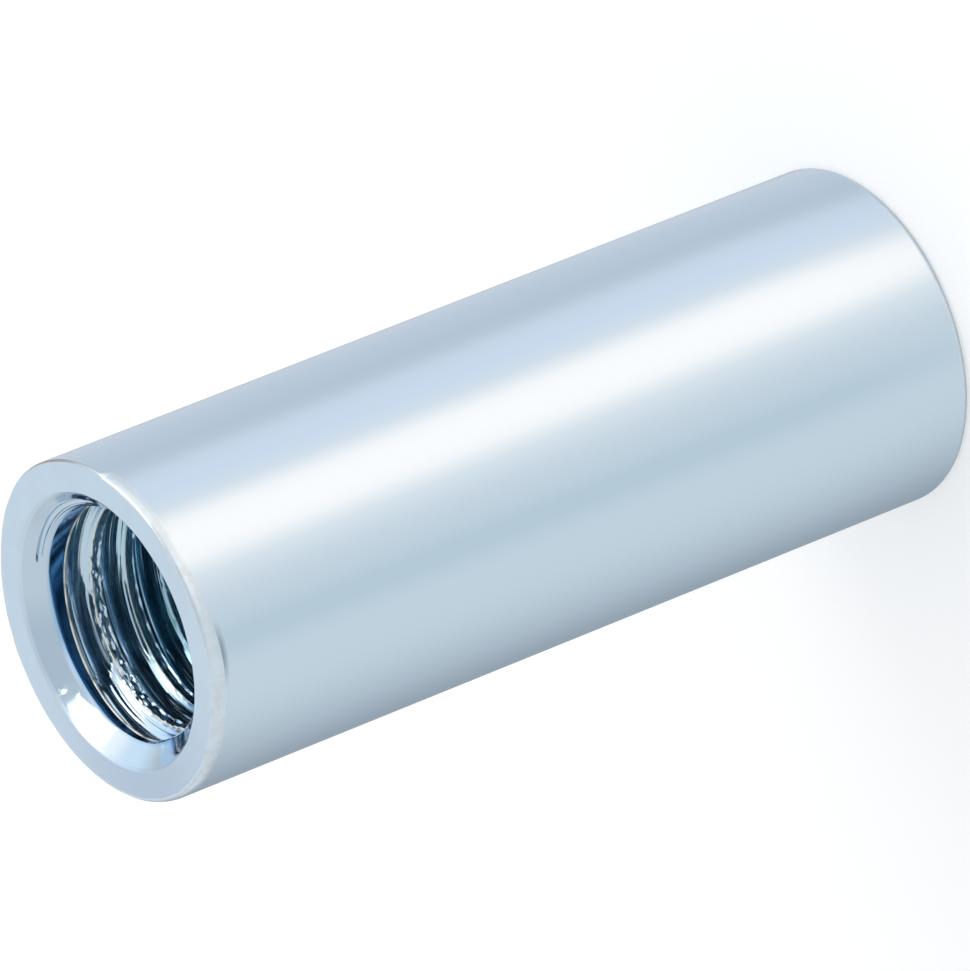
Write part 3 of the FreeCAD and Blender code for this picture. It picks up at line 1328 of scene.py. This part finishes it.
@dataclass(frozen=True)
class Studio:
    """A light tent with a pale sheet, one softbox and a camera. Angles are in degrees."""

    tent_light: tuple[float, float, float] = (0.93, 0.93, 0.91)
    # how strongly the tent lights whatever doesn't mirror it
    diffuse_level: float = 0.85
    # each patch is laid over those before it
    patches: tuple[TentPatch, ...] = (
        TentPatch(180, -31, 8, 85, (0.36, 0.41, 0.45)),
        TentPatch(180, 32, 26, 26, (0.92, 0.95, 0.96)),
        TentPatch(140, -31, 14, 26, (0.77, 0.80, 0.84)),
        TentPatch(78, -31, 6, 16, (1.00, 1.01, 1.05)),
        TentPatch(-33, -31, 4, 12, (0.76, 0.83, 0.82)),
        TentPatch(32, -31, 12, 26, (1.20, 1.14, 1.05)),
        TentPatch(36, -31, 9, 13, (1.72, 1.45, 1.25)),
        TentPatch(0, 51, 14, 30, (0.76, 0.79, 0.82)),
        TentPatch(112, 24, 12, 30, (1.12, 1.20, 1.26)),
        TentPatch(98, 34, 5, 17, (1.60, 1.46, 1.34)),
        TentPatch(20, 10, 12, 24, (1.30, 1.24, 1.17)),
        TentPatch(62, 8, 16, 14, (1.32, 1.26, 1.18)),
        TentPatch(-131, -5, 8, 18, (0.93, 0.94, 0.95)),
    )
    sheet_side: float = 4000.0
    sheet_colour: str = "#f4f5f6"
    # what is added to the sheet's own light where the camera sees it
    sheet_lift: float = 0.20
    softbox_width: float = 240.0
    softbox_height: float = 260.0
    softbox_level: float = 1.5
    softbox_azimuth: float = 80
    softbox_elevation: float = 41
    # what the softbox points at, and how far it is from there
    softbox_target: tuple[float, float, float] = (0.0, 0.0, 40.0)
    softbox_distance: float = 450.0
    camera_target: tuple[float, float, float] = (-0.14, 0.0, 20.24)
    camera_distance: float = 619.82
    camera_elevation: float = 31.83
    camera_roll: float = -111.65
    focal_length: float = 548.45
    sensor_width: float = 36.0
    # the nearest and the farthest that the camera sees
    clip: tuple[float, float] = (10.0, 20000.0)

    def build_world(self) -> None:
        """Make the tent: white to the camera, softly patched to the metal, and even to everything else."""
        world = bpy.data.worlds.new("light_tent")
        bpy.context.scene.world = world
        world.use_nodes = True
        tree = world.node_tree
        tree.nodes.clear()
        # The metal meets the tent by its own reflections, so the tent isn't sampled as a lamp.
        world.cycles.sampling_method = "NONE"
        place = add_node(tree, "ShaderNodeTexCoord")
        light = (*self.tent_light, 1.0)
        for patch in self.patches:
            towards = add_node(tree, "ShaderNodeVectorMath", {"operation": "DOT_PRODUCT"}, {
                0: place.outputs["Generated"],
                1: direction(patch.azimuth, patch.elevation),
            })
            angle = add_node(tree, "ShaderNodeMath", {"operation": "ARCCOSINE"}, {
                0: towards.outputs["Value"],
            })
            edge = math.radians(patch.radius + patch.softness)
            light = blend_colours(tree, angle.outputs[0], edge, math.radians(patch.radius), light,
                                  (*patch.light, 1.0))
        ray = add_node(tree, "ShaderNodeLightPath")
        plain = add_node(tree, "ShaderNodeBackground", inputs={
            "Color": WHITE,
            "Strength": self.diffuse_level,
        })
        seen = add_node(tree, "ShaderNodeBackground", inputs={"Color": WHITE, "Strength": 1.0})
        tent = add_node(tree, "ShaderNodeBackground", inputs={"Color": light, "Strength": 1.0})
        to_metal = add_node(tree, "ShaderNodeMixShader", inputs={
            0: ray.outputs["Is Glossy Ray"],
            1: plain.outputs[0],
            2: tent.outputs[0],
        })
        to_camera = add_node(tree, "ShaderNodeMixShader", inputs={
            0: ray.outputs["Is Camera Ray"],
            1: to_metal.outputs[0],
            2: seen.outputs[0],
        })
        add_node(tree, "ShaderNodeOutputWorld", inputs={"Surface": to_camera.outputs[0]})

    def build_sheet(self) -> None:
        """Lay the pale sheet of matt card that the nut stands on, which shows as an even near-white."""
        half = self.sheet_side / 2 * MM
        mesh = bpy.data.meshes.new("sheet")
        corners = [(-half, -half, 0), (half, -half, 0), (half, half, 0), (-half, half, 0)]
        mesh.from_pydata(corners, [], [(0, 1, 2, 3)])
        sheet = bpy.data.objects.new("sheet", mesh)
        bpy.context.scene.collection.objects.link(sheet)
        sheet.visible_glossy = False
        material = bpy.data.materials.new("matt_white_card")
        material.use_nodes = True
        tree = material.node_tree
        tree.nodes.clear()
        card = add_node(tree, "ShaderNodeBsdfDiffuse", inputs={"Color": linear(self.sheet_colour)})
        ray = add_node(tree, "ShaderNodeLightPath")
        lift = add_node(tree, "ShaderNodeMath", {"operation": "MULTIPLY"}, {
            0: ray.outputs["Is Camera Ray"],
            1: self.sheet_lift,
        })
        glow = add_node(tree, "ShaderNodeEmission", inputs={"Strength": lift.outputs[0]})
        both = add_node(tree, "ShaderNodeAddShader", inputs={0: card.outputs[0], 1: glow.outputs[0]})
        add_node(tree, "ShaderNodeOutputMaterial", inputs={"Surface": both.outputs[0]})
        mesh.materials.append(material)

    def build_softbox(self) -> None:
        """Hang the softbox whose edge shows in the countersink."""
        lamp = bpy.data.lights.new("softbox", "AREA")
        lamp.shape = "RECTANGLE"
        lamp.size = self.softbox_width * MM
        lamp.size_y = self.softbox_height * MM
        lamp.energy = self.softbox_level * math.pi * lamp.size * lamp.size_y
        box = bpy.data.objects.new("softbox", lamp)
        bpy.context.scene.collection.objects.link(box)
        towards = direction(self.softbox_azimuth, self.softbox_elevation)
        box.location = (Vector(self.softbox_target) + towards * self.softbox_distance) * MM
        box.rotation_mode = "QUATERNION"
        box.rotation_quaternion = towards.to_track_quat("Z", "Y")

    def build_camera(self) -> None:
        """Set the camera at the photograph's angle, rolled so that the nut lies across the picture."""
        tilt = math.radians(self.camera_elevation)
        roll = math.radians(self.camera_roll)
        back = Vector((0, -math.cos(tilt), math.sin(tilt)))
        level_right = Vector((1, 0, 0))
        level_up = back.cross(level_right)
        right = level_right * math.cos(roll) + level_up * math.sin(roll)
        up = back.cross(right)
        camera = bpy.data.objects.new("camera", bpy.data.cameras.new("camera"))
        bpy.context.scene.collection.objects.link(camera)
        turn = Matrix((right, up, back)).transposed()
        place = (Vector(self.camera_target) + back * self.camera_distance) * MM
        camera.matrix_world = Matrix.Translation(place) @ turn.to_4x4()
        camera.data.lens = self.focal_length
        camera.data.sensor_width = self.sensor_width
        camera.data.clip_start, camera.data.clip_end = (distance * MM for distance in self.clip)
        bpy.context.scene.camera = camera


def main() -> None:
    """Load the frame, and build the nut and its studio."""
    logging.basicConfig(level=logging.INFO, format="%(message)s")
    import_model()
    low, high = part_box(CAD_NODE)
    nut = SleeveNut(length=(high.z - low.z) / MM, outer_radius=(high.x - low.x) / 2 / MM)
    body = nut.build()
    LOG.info("%s: %d triangles", body.name, sum(len(face) - 2 for face in nut.faces))
    studio = Studio()
    studio.build_world()
    studio.build_sheet()
    studio.build_softbox()
    studio.build_camera()
    bpy.context.scene.view_settings.view_transform = "Standard"


if __name__ == "__main__":
    main()
